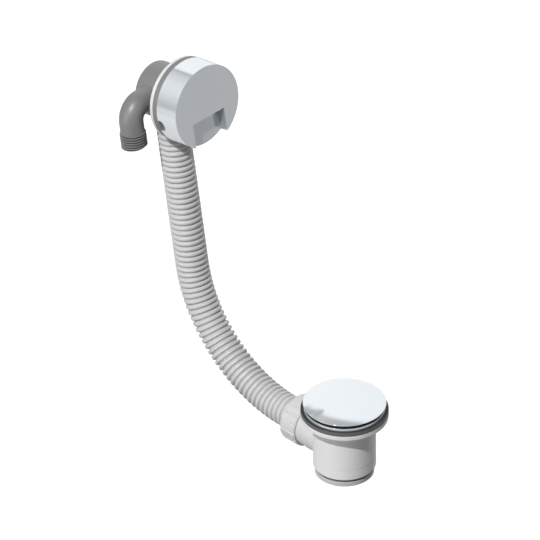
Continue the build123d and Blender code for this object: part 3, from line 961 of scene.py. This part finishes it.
scene = bpy.context.scene
scene.view_settings.view_transform = "Standard"
camera_data = bpy.data.cameras.new("camera")
camera_data.type = "ORTHO"
camera_data.ortho_scale = photo_width
camera = bpy.data.objects.new("camera", camera_data)
camera.location = photo_middle + camera_back * camera_distance
camera.rotation_euler = camera_back.to_track_quat("Z", "Y").to_euler()
scene.collection.objects.link(camera)
scene.camera = camera


def lamp(name, towards, level, size):
    """Far lamp of that apparent size, which lights a white surface that faces it to that level."""
    data = bpy.data.lights.new(name, "SUN")
    data.energy = math.pi * level
    data.angle = size
    piece = bpy.data.objects.new(name, data)
    piece.rotation_euler = towards.to_track_quat("Z", "Y").to_euler()
    scene.collection.objects.link(piece)
    return piece


lamp("sun", sun_from, sun_level, sun_size)
lamp("softbox", softbox_from, softbox_level, softbox_size)
rear_softbox = lamp("rear_softbox", rear_softbox_from, rear_softbox_level, rear_softbox_size)
rear_softbox.visible_glossy = False


def combined(operation, *values):
    """What a Math node makes of numbers and other nodes' outputs, in the tree that make and join fill."""
    node = make("ShaderNodeMath")
    node.operation = operation
    for socket, value in zip(node.inputs, values):
        if isinstance(value, float):
            socket.default_value = value
        else:
            join(value, socket)
    return node.outputs["Value"]


floor_mesh = bmesh.new()
bmesh.ops.create_circle(floor_mesh, cap_ends=True, radius=floor_radius, segments=96)
bmesh.ops.translate(floor_mesh, vec=(0, 0, floor_z), verts=floor_mesh.verts)
floor_data = bpy.data.meshes.new("floor")
floor_mesh.to_mesh(floor_data)
floor_mesh.free()
floor = bpy.data.objects.new("floor", floor_data)
floor.visible_diffuse = False
scene.collection.objects.link(floor)
floor_paint = bpy.data.materials.new("floor_paint")
floor_paint.use_nodes = True
make, join = floor_paint.node_tree.nodes.new, floor_paint.node_tree.links.new
matt = floor_paint.node_tree.nodes["Principled BSDF"]
matt.inputs["Base Color"].default_value = (floor_white, floor_white, floor_white, 1)
matt.inputs["Roughness"].default_value = floor_roughness
matt.inputs["Emission Color"].default_value = white
path = make("ShaderNodeLightPath")
join(combined("MULTIPLY", path.outputs["Is Camera Ray"], floor_lift), matt.inputs["Emission Strength"])
floor_data.materials.append(floor_paint)

room = bpy.data.worlds.new("room")
room.use_nodes = True
scene.world = room
make, join = room.node_tree.nodes.new, room.node_tree.links.new
ray = make("ShaderNodeTexCoord").outputs["Generated"]
compass = make("ShaderNodeSeparateXYZ")
join(ray, compass.inputs["Vector"])
ray_x, ray_y, ray_z = compass.outputs


def fade(value, dark, light):
    """Soft step along a value, from none at dark to full at light."""
    step = make("ShaderNodeMapRange")
    step.interpolation_type = "SMOOTHSTEP"
    step.inputs["From Min"].default_value = dark
    step.inputs["From Max"].default_value = light
    join(value, step.inputs["Value"])
    return step.outputs["Result"]


def facing(towards):
    """How squarely a ray points that way."""
    node = make("ShaderNodeVectorMath")
    node.operation = "DOT_PRODUCT"
    node.inputs[1].default_value = towards
    join(ray, node.inputs[0])
    return node.outputs["Value"]


height = make("ShaderNodeMapRange")
height.inputs["From Min"].default_value = -1
join(ray_z, height.inputs["Value"])
wall_shade = make("ShaderNodeValToRGB")
join(height.outputs["Result"], wall_shade.inputs["Fac"])
shades = wall_shade.color_ramp.elements
shades[0].position, shades[0].color = wall_foot
shades[1].position, shades[1].color = wall_head
for position, grey in wall_tones:
    shades.new(position).color = (grey, grey, grey * wall_blue, 1)

low_share = fade(ray_z, dark=0.58, light=0.48)
skylight_reach = combined("MULTIPLY_ADD", low_share, skylight_low_reach, facing(skylight_towards))
skylight_share = fade(skylight_reach, dark=0.852, light=0.892)
frame_shade = make("ShaderNodeValToRGB")
join(skylight_reach, frame_shade.inputs["Fac"])
frames = frame_shade.color_ramp.elements
frames[0].position, frames[0].color = frame_outside, white
frames[1].position, frames[1].color = frame_inside, white
for position, grey in frame_tones:
    frames.new(position).color = (grey, grey, grey, 1)
framed = make("ShaderNodeMix")
framed.data_type = "RGBA"
framed.blend_type = "MULTIPLY"
join(fade(ray_z, dark=0.78, light=0.66), framed.inputs["Factor"])
join(wall_shade.outputs["Color"], framed.inputs["A"])
join(frame_shade.outputs["Color"], framed.inputs["B"])

window_side = fade(facing(window_towards), dark=0.03, light=0.1)
window_head = fade(ray_z, dark=0.62, light=0.5)
window_sill = fade(ray_z, dark=-0.34, light=-0.2)
window_share = combined("MULTIPLY", combined("MULTIPLY", window_head, window_sill), window_side)
with_window = make("ShaderNodeMix")
with_window.data_type = "RGBA"
with_window.inputs["B"].default_value = window_white
join(framed.outputs["Result"], with_window.inputs["A"])
join(combined("MAXIMUM", window_share, skylight_share), with_window.inputs["Factor"])

front_side = fade(ray_y, dark=-0.2, light=-0.65)
front_low = fade(ray_z, dark=0.05, light=-0.2)
front_level = make("ShaderNodeMapRange")
front_level.inputs["From Min"].default_value = -front_half
front_level.inputs["From Max"].default_value = front_half
front_level.inputs["To Min"].default_value = front_left_level
front_level.inputs["To Max"].default_value = front_right_level
join(ray_x, front_level.inputs["Value"])
dimmed = make("ShaderNodeMix")
dimmed.inputs["A"].default_value = 1
join(combined("MULTIPLY", front_side, front_low), dimmed.inputs["Factor"])
join(front_level.outputs["Result"], dimmed.inputs["B"])
mirrored = make("ShaderNodeBackground")
join(with_window.outputs["Result"], mirrored.inputs["Color"])
join(dimmed.outputs["Result"], mirrored.inputs["Strength"])

ambient = room.node_tree.nodes["Background"]
ambient.inputs["Color"].default_value = white
ambient.inputs["Strength"].default_value = ambient_level
backdrop = make("ShaderNodeBackground")
backdrop.inputs["Color"].default_value = white
path = make("ShaderNodeLightPath")
sees_room = combined("MAXIMUM", path.outputs["Is Glossy Ray"], path.outputs["Is Transmission Ray"])
room_or_ambient = make("ShaderNodeMixShader")
join(sees_room, room_or_ambient.inputs["Fac"])
join(ambient.outputs["Background"], room_or_ambient.inputs[1])
join(mirrored.outputs["Background"], room_or_ambient.inputs[2])
seen = make("ShaderNodeMixShader")
join(path.outputs["Is Camera Ray"], seen.inputs["Fac"])
join(room_or_ambient.outputs["Shader"], seen.inputs[1])
join(backdrop.outputs["Background"], seen.inputs[2])
join(seen.outputs["Shader"], room.node_tree.nodes["World Output"].inputs["Surface"])
